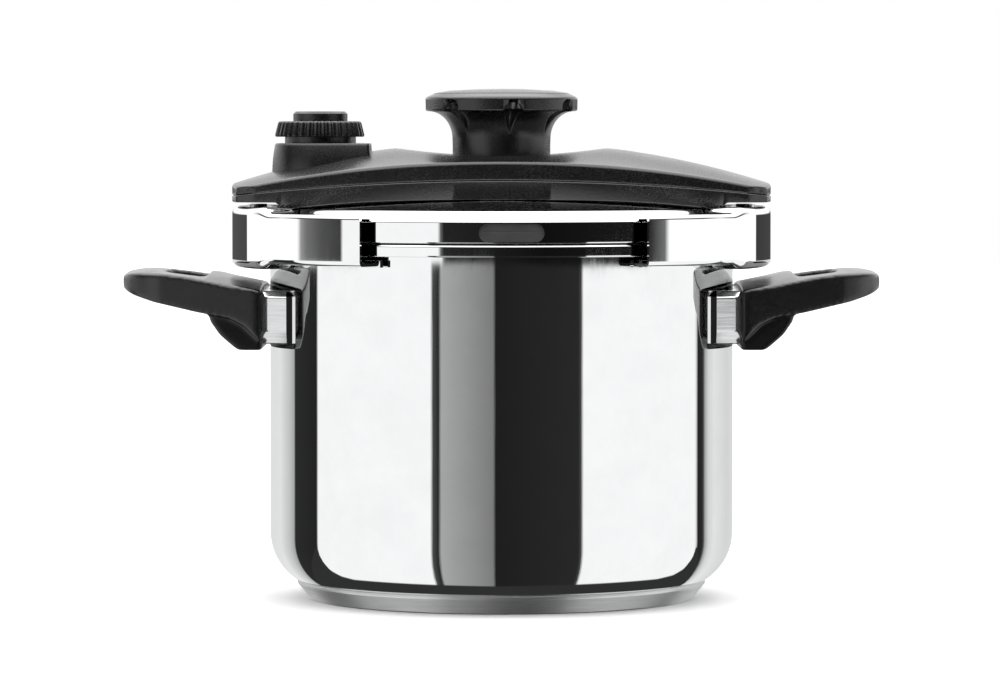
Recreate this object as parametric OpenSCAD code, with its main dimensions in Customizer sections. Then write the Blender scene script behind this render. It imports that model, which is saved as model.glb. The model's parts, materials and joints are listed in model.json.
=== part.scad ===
// Stovetop pressure cooker: steel pot, lid clamped by two sliding jaws,
// turning lid knob, regulator valve, pressure indicator and safety valve.
// Millimetres, +Z up. The origin is the centre of the base, on the hob.

/* [Pot] */
// Outside radius of the pot wall
pot_r = 111; // [110:0.5:112]
// Height of the pot's rim above the hob
rim_z = 172; // [171.5:0.1:172]
// Thickness of the pot's sheet steel
wall = 1; // [0.8:0.1:1.2]
// Outside radius of the curve between the wall and the floor
corner_r = 26; // [22:1:28]
// Height of the underside of the pot's floor
floor_z = 5.5; // [4.5:0.5:7]
// Radius of the heat-spreading base
base_r = 98; // [97:0.5:98]

/* [Lid] */
// Thickness of the lid's sheet steel
lid_t = 1; // [0.8:0.1:1.2]
// Height of the lid's crown above the hob
crown_z = 192.2; // [192:0.1:192.2]
// Radius of the lid's crown, seen from the side
crown_r = 960; // [950:1:1000]

/* [Jaws] */
// Distance that each jaw travels when the lid is opened
jaw_travel = 14; // [10:1:14]
// Half of the angle that each jaw covers round the rim
jaw_half_angle = 58; // [50:1:58]
// Thickness of the jaw's sheet steel
jaw_t = 1.5; // [1.2:0.1:1.5]

/* [Knob] */
// Angle that the knob turns to open the lid
knob_turn = 110; // [90:1:110]
// Radius of the knob's rim
knob_r = 36.5; // [35:0.5:38]
// Number of finger flutes round the knob
flutes = 7; // [5:1:9]

/* [Cover] */
// Half of the cover's length
cover_half = 129; // [128:0.5:129]
// Half of the cover's width in the middle
cover_mid = 46; // [45:0.5:48]
// Half of the cover's width at the ends
cover_end = 34; // [33:0.5:36]
// Thickness of the cover's moulding
cover_t = 2.2; // [1.8:0.1:2.4]

/* [Handles] */
// Distance from the pot's centre to a handle's tip
handle_tip = 180.5; // [180:0.5:185]
// Half of the width of a handle at its root
handle_half = 51; // [48:0.5:51]

/* [Valves] */
// Distance of the regulator valve from the lid's centre
valve_x = 86.8; // [86:0.1:87.5]
// Distance of the safety valve from the lid's centre
safety_x = 86; // [85:0.5:86]
// Distance of the pressure indicator from the lid's centre
indicator_x = 67; // [66.5:0.5:67.5]

/* [Hidden] */
$fn = 96;
STEEL = "#c8cacc";
BRUSHED = "#a9abad";
BLACK = "#242527";
RUBBER = "#3a3b3d";
BRASS = "#b79b5a";

// Rim: the wall turns outward and hangs down as a hem
hem_r = pot_r + 6;
hem_z = rim_z - 6;

// Lid outline
lid_r = hem_r + 0.6;
skirt_z = rim_z + 0.4;
annulus_z = skirt_z + 11;
shoulder_r = 1.5;
step_r = 103;

// Jaw sections: the ends are low, and the middle bulges to take the handle of the slide
jaw_end_r = pot_r + 14;
jaw_end_z = [rim_z - 8.3, annulus_z + 1.8];
jaw_mid_r = pot_r + 18;
jaw_mid_z = [rim_z - 13, rim_z + 16];
jaw_mid_angle = 27;
jaw_lip_r = pot_r + 1.5;
jaw_flange_r = pot_r;
jaw_corner = 3;

// Slide arms, guide rail and cam, stacked on the crown
arm_z = crown_z + 1.5;
arm_t = 1.5;
arm_half = 20;
arm_ramp = [95.5, 108.5];
foot_z = jaw_mid_z[1] - jaw_t - arm_t;
foot_end = 122;
rivet_x = 117;
rivet_y = 12;
rail_t = 1;
rail_half = [60, 22.5];
cam_z = arm_z + arm_t + 0.5;
cam_t = 2;
cam_r = 33;
pin_r = 3;
pin_start = 14;
slot_r = pin_r + 0.25;
slot_steps = 24;

// Centre post, spindle and knob
post_r = 5;
post_top = 222.2;
spindle_r = 9;
spindle_top = 222;
neck_r = 23.5;
neck_z = 219.7;
rim_bottom = 234.1;
knob_top = 244;

// Cover heights at the middle and at the ends
seam_mid = 200.5;
seam_drop = 7.4;
edge_mid = 209.2;
edge_drop = 13.9;
ridge_z = 215.8;
ridge_x = 50;
ridge_slope = 0.1135;
ridge_bend = 0.00132;
under_mid = 191.4;
under_drop = 4.6;
under_x = 102;
end_z = 190;
end_x = 107.5;
dish_z = 210;
cover_stations = 40;
cover_across = 14;
strap_x = 45;
strap_y = 30;
strap_z = [197, 199.2];

// Handle heights
guard_x = [101.2, 116];
guard_t = 1;
handle_screw_z = 135;

// Valve on the left
turret_z = 218;
turret_r = [24.5, 22.7];
valve_knob_r = 21.3;
valve_teeth = 36;

// ---------- shared shapes ----------

// A ring or tube between two heights; r_in = 0 gives a disc
module tube(r_out, r_in, z0, z1) {
    translate([0, 0, z0])
        difference() {
            cylinder(r = r_out, h = z1 - z0);
            if (r_in > 0)
                translate([0, 0, -1]) cylinder(r = r_in, h = z1 - z0 + 2);
        }
}

// A box given by its lowest and highest corners
module block(low, high) {
    translate(low) cube(high - low);
}

// Left-hand copies are made by turning the right-hand piece half a turn
module on_left() {
    rotate([0, 0, 180]) children();
}

// A round wire coil standing on z0, as a swept tube
module coil(coil_r, wire_r, turns, z0, z1) {
    sides = 6;
    steps = 14 * turns;
    rings = [for (i = [0:steps])
        let (a = 360 * turns * i / steps, z = z0 + wire_r + (z1 - z0 - 2 * wire_r) * i / steps)
        for (j = [0:sides - 1])
            let (b = 360 * j / sides, r = coil_r + wire_r * cos(b))
            [r * cos(a), r * sin(a), z + wire_r * sin(b)]];
    walls = [for (i = [0:steps - 1], j = [0:sides - 1])
        let (k = (j + 1) % sides)
        [i * sides + j, i * sides + k, (i + 1) * sides + k, (i + 1) * sides + j]];
    first = [for (j = [sides - 1:-1:0]) j];
    last = [for (j = [0:sides - 1]) steps * sides + j];
    polyhedron(points = rings, faces = concat(walls, [first, last]));
}

// ---------- pot ----------

// Half section of the pot's outside, or of its inside when inset
module vessel_section(inset, top) {
    r = pot_r - inset;
    bottom = floor_z + inset;
    corner = corner_r - inset;
    translate([0, bottom]) square([r - corner, top - bottom]);
    translate([0, bottom + corner]) square([r, top - bottom - corner]);
    translate([r - corner, bottom + corner]) circle(corner);
}

module pot_body() {
    color(STEEL)
        rotate_extrude()
            intersection() {
                translate([0, floor_z]) square([hem_r, rim_z]);
                union() {
                    difference() {
                        vessel_section(0, rim_z);
                        vessel_section(wall, rim_z + 1);
                    }
                    translate([pot_r - wall, rim_z - wall]) square([hem_r - pot_r + wall, wall]);
                    translate([hem_r - wall, hem_z]) square([wall, rim_z - hem_z]);
                }
            }
}

// The base cup's side slopes in to the flat that stands on the hob
base_top = 9;
base_slope_z = 7.4;
base_slope = 6;

// Half section of the base cup, or of the space in it when inset
module base_section(inset) {
    side = base_r - inset;
    polygon([
        [0, inset], [side - base_slope, inset], [side, base_slope_z], [side, base_top], [0, base_top]
    ]);
}

base_cap_t = 0.8;

module base_core() {
    color(BRUSHED)
        rotate_extrude()
            difference() {
                intersection() {
                    square([base_r, base_top]);
                    base_section(base_cap_t);
                }
                vessel_section(0, rim_z);
            }
}

module base_cap() {
    color(STEEL)
        rotate_extrude()
            intersection() {
                square([base_r, base_top]);
                difference() {
                    base_section(0);
                    base_section(base_cap_t);
                    vessel_section(0, rim_z);
                }
            }
}

// ---------- handles ----------

boss_end = 121;

module pot_bracket() {
    half = handle_half + 0.5;
    color(STEEL)
        difference() {
            union() {
                intersection() {
                    tube(pot_r + 2, pot_r, 130, 143);
                    block([60, 2 - half, 120], [130, half - 2, 150]);
                }
                for (side = [-1, 1])
                    block([95, side > 0 ? 42 : -half, 124], [101, side > 0 ? half : -42, 146]);
                translate([pot_r - 1, 0, handle_screw_z]) rotate([0, 90, 0])
                    cylinder(r = 6, h = boss_end - pot_r + 1);
            }
            cylinder(r = pot_r, h = rim_z);
            translate([pot_r + 1, 0, handle_screw_z]) rotate([0, 90, 0]) cylinder(r = 2.5, h = 20);
        }
}

// Section of the handle's root, across the handle
module root_section(inset) {
    y = handle_half + 0.5 - inset;
    polygon([
        [-y, 129.7], [-y, 143.3], [4.5 - y, 148.5 - inset], [y - 4.5, 148.5 - inset],
        [y, 143.3], [y, 129.7], [y - 5, 121.5 + inset], [5 - y, 121.5 + inset]
    ]);
}

// Stretch of the root section between two distances from the pot's centre
module root_block(x0, x1, inset) {
    translate([x0, 0, 0]) rotate([90, 0, 90]) linear_extrude(x1 - x0) root_section(inset);
}

module flame_guard() {
    color(STEEL)
        difference() {
            root_block(guard_x[0], guard_x[1], 0);
            root_block(guard_x[0] - 1, guard_x[1] + 1, guard_t);
            cylinder(r = pot_r + 0.3, h = rim_z);
        }
}

// Half outline of an arc, as points
function arc(cx, cy, r, a0, a1, n) =
    [for (i = [0:n]) let (a = a0 + (a1 - a0) * i / n) [cx + r * cos(a), cy + r * sin(a)]];

// Grip outline from above: straight root sides, tapered arms and a round tip
module grip_plan() {
    tip_r = 26;
    tip_y = 17;
    right = concat([[100, handle_half - 0.5], [118, handle_half - 0.5]],
                   arc(handle_tip - tip_r, tip_y, tip_r, 70, 0, 12));
    left = [for (i = [len(right) - 1:-1:0]) [right[i][0], -right[i][1]]];
    polygon(concat(right, left));
}

// Grip outline from the front: a thin blade that thickens and rises toward the tip
module grip_side() {
    polygon([
        [101.5, 124], [106.6, 120.4], [124, 120.4], [126.4, 121.9], [133, 127.6], [137.5, 134],
        [149, 136.6], [164.4, 140], [178, 145], [handle_tip, 148.5], [handle_tip, 155],
        [179.7, 157.2], [172.8, 158], [162.8, 158.1], [152.2, 155.8], [140.6, 154.6],
        [140, 156.2], [134.9, 156], [124.8, 153.8], [116, 151], [116, 148.5], [101.5, 147.5]
    ]);
}

finger_x = [140, 160];
finger_half = 28;

module grip() {
    color(BLACK)
        difference() {
            union() {
                root_block(guard_x[0], guard_x[1], guard_t);
                intersection() {
                    linear_extrude(200) grip_plan();
                    rotate([90, 0, 0]) linear_extrude(120, center = true) grip_side();
                    block([guard_x[1], -60, 100], [200, 60, 170]);
                }
            }
            cylinder(r = pot_r + 2.3, h = rim_z);
            // finger hole, with round ends
            block([finger_x[0], -finger_half + 10, 100], [finger_x[1], finger_half - 10, 170]);
            for (side = [-1, 1])
                translate([150, side * (finger_half - 10), 100]) cylinder(r = 10, h = 70);
            // socket for the bracket's boss, screw hole and counterbore
            translate([100, 0, handle_screw_z]) rotate([0, 90, 0]) {
                cylinder(r = 6, h = boss_end - 100);
                cylinder(r = 2.5, h = 60);
                translate([0, 0, 29]) cylinder(r = 5, h = 40);
            }
        }
}

module grip_screw() {
    color(STEEL)
        translate([0, 0, handle_screw_z]) rotate([0, 90, 0]) {
            translate([0, 0, 114]) cylinder(r = 2.5, h = 15);
            difference() {
                translate([0, 0, 129]) cylinder(r = 4.5, h = 3);
                translate([0, 0, 130.5]) cylinder(r = 2.2, h = 3, $fn = 6);
            }
        }
}

// ---------- lid ----------

// Half section of the lid's outside, or of its inside when inset
module lid_section(inset, low) {
    r = lid_r - inset;
    shoulder_z = annulus_z - shoulder_r;
    translate([0, low]) square([r, shoulder_z - low]);
    translate([0, low]) square([lid_r - shoulder_r, annulus_z - inset - low]);
    translate([lid_r - shoulder_r, shoulder_z]) circle(shoulder_r - inset);
    intersection() {
        translate([0, low]) square([step_r - inset, crown_z]);
        translate([0, crown_z - crown_r]) circle(crown_r - inset, $fn = 1440);
    }
}

window = [30.2, 8.8];
window_x = 4.6;
window_z = 177.3;

module lid_shell() {
    color(STEEL)
        difference() {
            rotate_extrude()
                intersection() {
                    translate([0, skirt_z]) square([lid_r, 40]);
                    difference() {
                        lid_section(0, skirt_z);
                        lid_section(lid_t, skirt_z - 1);
                    }
                }
            cylinder(r = post_r, h = 250);
            translate([-valve_x, 0, 150]) cylinder(r = 6, h = 60);
            translate([safety_x, 0, 150]) cylinder(r = 4, h = 60);
            translate([indicator_x, 0, 150]) cylinder(r = 3.5, h = 60);
            // window in the front of the skirt, through which the seal can bulge
            translate([window_x, -lid_r - 5, window_z]) rotate([-90, 0, 0]) {
                for (side = [-1, 1])
                    translate([side * (window[0] - window[1]) / 2, 0, 0])
                        cylinder(r = window[1] / 2, h = 15);
                translate([-(window[0] - window[1]) / 2, -window[1] / 2, 0])
                    cube([window[0] - window[1], window[1], 15]);
            }
        }
}

module lid_gasket() {
    out = lid_r - lid_t - 0.1;
    top = annulus_z - lid_t;
    color(RUBBER)
        rotate_extrude()
            union() {
                translate([109, top - 3]) square([out - shoulder_r - 109, 3]);
                translate([out - 3, rim_z + 0.4]) square([3, top - shoulder_r - rim_z - 0.4]);
                translate([109, rim_z + 3]) square([out - 109, top - rim_z - 3 - shoulder_r]);
                translate([104, rim_z + 0.1]) square([5, 2.5]);
                translate([109, rim_z + 0.1]) square([out - 111, 3]);
                translate([109, rim_z + 2.9]) square([4, top - rim_z - 3]);
            }
}

module guide_rail() {
    x = rail_half[0];
    y = rail_half[1];
    color(BRUSHED)
        difference() {
            union() {
                block([-x, -y, crown_z], [x, y, crown_z + rail_t]);
                for (side = [-1, 1])
                    translate([0, side * (y - 0.75), 0])
                        block([-x, -0.75, crown_z], [x, 0.75, arm_z + arm_t]);
                for (sx = [-1, 1])
                    translate([sx * strap_x, 0, 0])
                        block([-6, -strap_y - 6, crown_z], [6, strap_y + 6, crown_z + rail_t]);
            }
            cylinder(r = post_r, h = 250);
            for (sx = [-1, 1], sy = [-1, 1])
                translate([sx * strap_x, sy * strap_y, 150]) cylinder(r = 1.5, h = 60);
        }
}

// The post stands on a flange under the lid and carries the whole slide
module centre_post() {
    color(STEEL)
        difference() {
            union() {
                tube(10, 0, crown_z - lid_t - 3, crown_z - lid_t - 0.1);
                tube(post_r, 0, crown_z - lid_t - 1, post_top);
            }
            translate([0, 0, post_top - 14]) cylinder(r = 2.5, h = 20);
        }
}

module post_nut() {
    top = cam_z - 0.3;
    color(BRUSHED)
        difference() {
            translate([0, 0, crown_z + rail_t]) cylinder(r = 8.5, h = top - crown_z - rail_t, $fn = 6);
            cylinder(r = post_r, h = 250);
        }
}

module shoulder_screw() {
    color(STEEL)
        difference() {
            union() {
                tube(2.5, 0, post_top - 12, post_top);
                tube(8, 0, post_top, post_top + 3);
            }
            translate([0, 0, post_top + 1]) cylinder(r = 2.9, h = 3, $fn = 6);
        }
}

// ---------- slide: cam, arms and jaws ----------

// Radius of a cam pin's centre when the knob has turned by t degrees
function pin_at(t) = pin_start + jaw_travel * t / knob_turn;

// Point beside the cam slot's centre line, off to one side by d
function slot_point(start, t, d) =
    let (a = start - t, r = pin_at(t), rise = jaw_travel / knob_turn * 180 / PI,
         n = norm([r, rise]),
         along = [rise * cos(a) + r * sin(a), rise * sin(a) - r * cos(a)] / n)
    [r * cos(a) - d * along[1], r * sin(a) + d * along[0]];

module cam_slot(start) {
    inside = [for (i = [0:slot_steps]) slot_point(start, knob_turn * i / slot_steps, slot_r)];
    outside = [for (i = [slot_steps:-1:0]) slot_point(start, knob_turn * i / slot_steps, -slot_r)];
    translate([0, 0, cam_z - 1]) {
        linear_extrude(cam_t + 2) polygon(concat(inside, outside));
        for (t = [0, knob_turn])
            rotate([0, 0, start - t]) translate([pin_at(t), 0, 0]) cylinder(r = slot_r, h = cam_t + 2);
    }
}

module cam_disc() {
    color(BRUSHED)
        difference() {
            tube(cam_r, spindle_r, cam_z, cam_z + cam_t);
            cam_slot(0);
            cam_slot(180);
        }
}

module cam_pin() {
    color(STEEL) translate([pin_start, 0, arm_z]) cylinder(r = pin_r, h = arm_t + cam_t + 0.4);
}

// Passages that let the arms pass the valve and the indicator, from the centre outward
passage_r = 8.5;
valve_passage = [63, 95];
indicator_passage = [46, 95];

// Arm of one jaw: a flat bar over the crown, a ramp, and a foot under the jaw's flange
module arm(opening) {
    inner = pin_start - pin_r - 0.6;
    first = opening[0] + passage_r;
    last = opening[1] - passage_r;
    color(STEEL)
        difference() {
            rotate([90, 0, 0])
                linear_extrude(2 * arm_half, center = true)
                    polygon([
                        [inner, arm_z], [arm_ramp[0], arm_z], [arm_ramp[1], foot_z],
                        [foot_end, foot_z], [foot_end, foot_z + arm_t],
                        [arm_ramp[1] + 0.9, foot_z + arm_t], [arm_ramp[0] + 0.9, arm_z + arm_t],
                        [inner, arm_z + arm_t]
                    ]);
            translate([pin_start, 0, arm_z - 1]) cylinder(r = pin_r, h = arm_t + 2);
            block([first, -passage_r, arm_z - 1], [last, passage_r, arm_z + arm_t + 1]);
            for (x = [first, last])
                translate([x, 0, arm_z - 1]) cylinder(r = passage_r, h = arm_t + 2);
            for (side = [-1, 1])
                translate([rivet_x, side * rivet_y, foot_z - 1]) cylinder(r = 2.5, h = arm_t + 2);
        }
}

module rivets() {
    color(STEEL)
        for (side = [-1, 1])
            translate([rivet_x, side * rivet_y, 0]) {
                tube(2.5, 0, foot_z, foot_z + arm_t + jaw_t);
                tube(4, 0, foot_z - 0.8, foot_z);
                tube(4, 0, foot_z + arm_t + jaw_t, foot_z + arm_t + jaw_t + 0.8);
            }
}

// Half section of a jaw: a channel with its mouth toward the pot
module jaw_section(r_out, z, round_r) {
    difference() {
        jaw_blank(r_out, z[0], z[1], round_r);
        jaw_blank(r_out - jaw_t, z[0] + jaw_t, z[1] - jaw_t, round_r - jaw_t);
    }
}

// Channel outline with two rounded outer corners
module jaw_blank(r_out, z0, z1, round_r) {
    inner = jaw_flange_r - 4;
    translate([inner, z0]) square([r_out - round_r - inner, z1 - z0]);
    translate([inner, z0 + round_r]) square([r_out - inner, z1 - z0 - 2 * round_r]);
    for (z = [z0 + round_r, z1 - round_r])
        translate([r_out - round_r, z]) circle(round_r);
}

// Keeps the flange and the lip at their own inner radii
module jaw_trim(r_out, z) {
    middle = (z[0] + z[1]) / 2;
    intersection() {
        jaw_section(r_out, z, jaw_corner);
        union() {
            translate([jaw_flange_r, middle]) square([40, 40]);
            translate([jaw_lip_r, z[0]]) square([40, middle - z[0]]);
        }
    }
}

module jaw() {
    step = 0.8;
    lap = 0.1;
    end_span = jaw_half_angle - jaw_mid_angle + step / 2;
    color(STEEL)
        difference() {
            union() {
                for (a = [jaw_mid_angle - step / 2, -jaw_half_angle])
                    rotate([0, 0, a]) rotate_extrude(angle = end_span) jaw_trim(jaw_end_r, jaw_end_z);
                rotate([0, 0, -jaw_mid_angle])
                    rotate_extrude(angle = 2 * jaw_mid_angle) jaw_trim(jaw_mid_r, jaw_mid_z);
                // step walls that join the bulge to the low ends
                for (a = [jaw_mid_angle - step, -jaw_mid_angle])
                    rotate([0, 0, a]) rotate_extrude(angle = step) step_section(lap);
            }
            for (side = [-1, 1])
                translate([rivet_x, side * rivet_y, 180]) cylinder(r = 2.5, h = 20);
        }
}

// Half section of the wall between the bulge and an end, a little inside both skins
module step_section(lap) {
    inset = jaw_t + lap;
    difference() {
        intersection() {
            jaw_blank(jaw_mid_r - lap, jaw_mid_z[0] + lap, jaw_mid_z[1] - lap, jaw_corner - lap);
            translate([jaw_lip_r + lap, 0]) square([40, 200]);
        }
        jaw_blank(jaw_end_r - inset, jaw_end_z[0] + inset, jaw_end_z[1] - inset, jaw_corner - inset);
    }
}

// ---------- knob ----------

// Flare from the neck up to the rim, a quarter of an ellipse
function flare(n) =
    [for (i = [0:n]) let (t = 90 * i / n)
        [neck_r + (knob_r - 0.4 - neck_r) * (1 - cos(t)), neck_z + (rim_bottom - neck_z) * sin(t)]];

cap_r = 34;
cap_z = 239;

module knob() {
    color(BLACK)
        difference() {
            rotate_extrude()
                difference() {
                    polygon(concat(
                        [[0, cam_z + cam_t], [neck_r, cam_z + cam_t]], flare(8),
                        [[knob_r, rim_bottom + 1.4], [knob_r, 240], [cap_r + 0.5, 241.4], [0, 241.4]]
                    ));
                    square([spindle_r, spindle_top]);
                    translate([0, spindle_top - 1]) square([12, 12]);
                    translate([0, 232]) square([20, 12]);
                    translate([0, cap_z]) square([cap_r, 5]);
                }
            // finger flutes that run down the flare into the neck
            for (i = [0:flutes - 1])
                rotate([0, 0, -81 + 360 * i / flutes])
                    translate([neck_r + 15.5, 0, rim_bottom + 1]) rotate([0, -38, 0])
                        translate([0, 0, -26]) cylinder(r = 3.6, h = 27);
        }
}

module knob_cap() {
    color(BLACK)
        rotate_extrude()
            intersection() {
                translate([0, cap_z]) square([cap_r, 6]);
                translate([0, knob_top - 240]) circle(240, $fn = 720);
            }
}

module spindle() {
    color(BRUSHED) tube(spindle_r, post_r + 0.05, cam_z, spindle_top);
}

// ---------- cover ----------

function fall(x) = pow(min(abs(x) / cover_half, 1), 2);
function half_width(x) = cover_end + (cover_mid - cover_end) * (1 - fall(x));
function seam_at(x) = seam_mid - seam_drop * fall(x);
function edge_at(x) = edge_mid - edge_drop * fall(x);
function bottom_at(x) = under_mid - under_drop * pow(abs(x) / under_x, 3.2);
function ridge_at(x) =
    let (d = max(0, abs(x) - ridge_x))
    ridge_z - ridge_slope * d - ridge_bend * d * d;

// Height of the cover's top: a crowned roof with a dish round the knob
function roof_at(x, y) =
    let (s = y / half_width(x),
         roof = edge_at(x) + (ridge_at(x) - edge_at(x)) * (1 - s * s),
         dish = dish_z + (ridge_z - dish_z) * max(0, norm([x, y]) - neck_r) / (ridge_x - neck_r))
    min(roof, dish);

// Closed roof-shaped solid above the seam, or the space in it when inset
module roof_solid(inset) {
    n = cover_across;
    xs = [for (i = [0:cover_stations]) -cover_half - 1 + (2 * cover_half + 2) * i / cover_stations];
    pts = [for (x = xs)
        let (w = half_width(x) - inset)
        each concat(
            [[x, -w, seam_at(x) - inset]],
            [for (j = [0:n]) let (y = w * (2 * j / n - 1)) [x, y, roof_at(x, y) - inset]],
            [[x, w, seam_at(x) - inset]])];
    ring = n + 3;
    skin = [for (i = [0:cover_stations - 1], j = [0:ring - 1])
        let (k = (j + 1) % ring, a = i * ring + j, b = i * ring + k,
             c = (i + 1) * ring + k, d = (i + 1) * ring + j)
        each [[a, b, c], [a, c, d]]];
    first = [for (j = [ring - 1:-1:0]) j];
    last = [for (j = [0:ring - 1]) cover_stations * ring + j];
    polyhedron(points = pts, faces = concat(skin, [first, last]));
}

// Cover outline from above
module cover_plan(inset) {
    xs = [for (i = [0:cover_stations]) -cover_half - 1 + (2 * cover_half + 2) * i / cover_stations];
    front = [for (x = xs) [x, inset - half_width(x)]];
    back = [for (i = [len(xs) - 1:-1:0]) [xs[i], half_width(xs[i]) - inset]];
    intersection() {
        polygon(concat(front, back));
        circle(cover_half - inset);
    }
}

screw_post_r = 4;
hole_r = 24.4;

module at_cover_screws() {
    for (sx = [-1, 1], sy = [-1, 1])
        translate([sx * strap_x, sy * strap_y, 0]) children();
}

module upper_cover() {
    color(BLACK)
        difference() {
            union() {
                difference() {
                    intersection() {
                        roof_solid(0);
                        cylinder(r = cover_half, h = 300);
                    }
                    intersection() {
                        roof_solid(cover_t);
                        cylinder(r = cover_half - cover_t, h = 300);
                    }
                }
                at_cover_screws() tube(screw_post_r, 0, strap_z[1], 210.5);
                translate([-valve_x, 0, 201])
                    cylinder(r1 = turret_r[0], r2 = turret_r[1], h = turret_z - 201);
                block([12 - valve_x, -20, 209], [24 - valve_x, 20, turret_z]);
            }
            cylinder(r = hole_r, h = 300);
            translate([-valve_x, 0, 190]) cylinder(r = 20, h = turret_z - 192.5);
            translate([-valve_x, 0, 190]) cylinder(r = 17.05, h = 60);
            translate([indicator_x, 0, 190]) cylinder(r = 4, h = 60);
            at_cover_screws() cylinder(r = 1.5, h = 206);
        }
}

module lower_cover() {
    xs = [for (i = [0:cover_stations]) -cover_half - 1 + (2 * cover_half + 2) * i / cover_stations];
    under = [for (i = [-8:8]) let (x = under_x * i / 8) [x, bottom_at(x)]];
    low = concat([[-cover_half - 1, end_z], [-end_x, end_z]], under,
                 [[end_x, end_z], [cover_half + 1, end_z]]);
    high = [for (i = [len(xs) - 1:-1:0]) [xs[i], seam_at(xs[i])]];
    color(BLACK)
        difference() {
            union() {
                intersection() {
                    linear_extrude(300)
                        difference() {
                            cover_plan(0);
                            cover_plan(cover_t);
                        }
                    rotate([90, 0, 0]) linear_extrude(120, center = true) polygon(concat(low, high));
                }
                intersection() {
                    linear_extrude(300) cover_plan(0.5);
                    for (sx = [-1, 1])
                        block([sx * strap_x - 5, -60, strap_z[0]], [sx * strap_x + 5, 60, seam_at(50)]);
                }
                at_cover_screws() tube(screw_post_r, 0, crown_z + rail_t, strap_z[1]);
            }
            for (sx = [-1, 1])
                block([sx * strap_x - 6, -40, strap_z[1]], [sx * strap_x + 6, 40, 210]);
            at_cover_screws() cylinder(r = 1.5, h = 300);
        }
}

module cover_screws() {
    color(STEEL)
        at_cover_screws() {
            tube(1.5, 0, crown_z, 205);
            tube(3, 0, crown_z - 1.4, crown_z);
        }
}

// ---------- regulator valve ----------

nozzle_top = 214;
cone_travel = 1.5;

module valve_nozzle() {
    color(BRASS)
        translate([-valve_x, 0, 0])
            difference() {
                union() {
                    tube(6, 0, 181, nozzle_top);
                    tube(8, 0, 189.6, 192);
                }
                cylinder(r = 2, h = 250);
            }
}

module valve_seal() {
    color(RUBBER) translate([-valve_x, 0, 0]) tube(10, 6, 184.8, 186.2);
}

module valve_nut() {
    color(BRASS)
        translate([-valve_x, 0, 0])
            difference() {
                translate([0, 0, 181.5]) cylinder(r = 10, h = 3.3, $fn = 6);
                cylinder(r = 6, h = 250);
            }
}

// Cone that closes the nozzle; it lifts against its spring to let steam out
module valve_cone() {
    color(STEEL)
        translate([-valve_x, 0, 0]) {
            translate([0, 0, nozzle_top + 0.1]) cylinder(r = 6, h = 2.4);
            translate([0, 0, nozzle_top - 3]) cylinder(r1 = 0.9, r2 = 1.9, h = 3.2);
            translate([0, 0, nozzle_top + 2.4]) cylinder(r = 2, h = 7);
        }
}

module valve_spring() {
    color(STEEL) translate([-valve_x, 0, 0]) coil(4, 0.6, 4, nozzle_top + 2.55, 228.4);
}

module regulator_knob() {
    pitch = 360 / valve_teeth;
    color(BLACK)
        translate([-valve_x, 0, 0])
            difference() {
                union() {
                    tube(17, 0, turret_z - 5, 221.1);
                    translate([0, 0, 221])
                        linear_extrude(7.5)
                            difference() {
                                circle(valve_knob_r);
                                for (i = [2:valve_teeth - 2])
                                    rotate(180 + pitch * i) translate([valve_knob_r, 0])
                                        circle(0.8, $fn = 16);
                            }
                }
                translate([0, 0, 190]) cylinder(r = 11, h = 38.5 + 4);
            }
}

module regulator_cap() {
    color(BLACK)
        translate([-valve_x, 0, 0])
            union() {
                tube(13.2, 0, 228.5, 232);
                translate([0, 0, 232]) cylinder(r1 = 13.2, r2 = 12, h = 1.2);
            }
}

// ---------- safety valve ----------

safety_stem_r = 4;

module safety_body() {
    color(BRASS)
        translate([safety_x, 0, 0])
            difference() {
                union() {
                    tube(safety_stem_r, 0, 180, 190);
                    tube(6.5, 0, 189.6, 203);
                }
                cylinder(r = 2, h = 250);
                translate([0, 0, 191.5]) cylinder(r = 5, h = 10);
            }
}

module safety_nut() {
    color(BRASS)
        translate([safety_x, 0, 0])
            difference() {
                translate([0, 0, 182.5]) cylinder(r = 8, h = 3.5, $fn = 6);
                cylinder(r = safety_stem_r, h = 250);
            }
}

module safety_poppet() {
    color(STEEL)
        translate([safety_x, 0, 0]) {
            tube(4, 0, 191.6, 193.6);
            tube(1.8, 0, 193.5, 204);
        }
}

module safety_spring() {
    color(STEEL) translate([safety_x, 0, 0]) coil(3.4, 0.5, 4, 193.65, 201.45);
}

// ---------- pressure indicator ----------

// The pin rises until its seal meets the foot of the bush
bush_foot = 184;
pin_rise = 3.5;
pin_foot = bush_foot - pin_rise - 1.5;

module indicator_bush() {
    color(STEEL)
        translate([indicator_x, 0, 0])
            difference() {
                union() {
                    tube(3.5, 0, bush_foot, 192);
                    tube(5, 0, 190.9, 199);
                }
                cylinder(r = 2.05, h = 250);
            }
}

module indicator_nut() {
    color(BRASS)
        translate([indicator_x, 0, 0])
            difference() {
                translate([0, 0, 185]) cylinder(r = 6, h = 3, $fn = 6);
                cylinder(r = 3.5, h = 250);
            }
}

module indicator_pin() {
    color("#9a2b25")
        translate([indicator_x, 0, 0]) {
            tube(2, 0, pin_foot, 203.6);
            tube(3.4, 0, 203.5, 208.5);
            tube(3.2, 0, pin_foot - 2, pin_foot);
        }
}

module indicator_seal() {
    color(RUBBER) translate([indicator_x, 0, 0]) tube(3.2, 2, pin_foot, pin_foot + 1.4);
}

module indicator_spring() {
    color(STEEL) translate([indicator_x, 0, 0]) coil(2.75, 0.4, 3, 199.05, 203.45);
}

// ---------- assembly ----------

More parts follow.
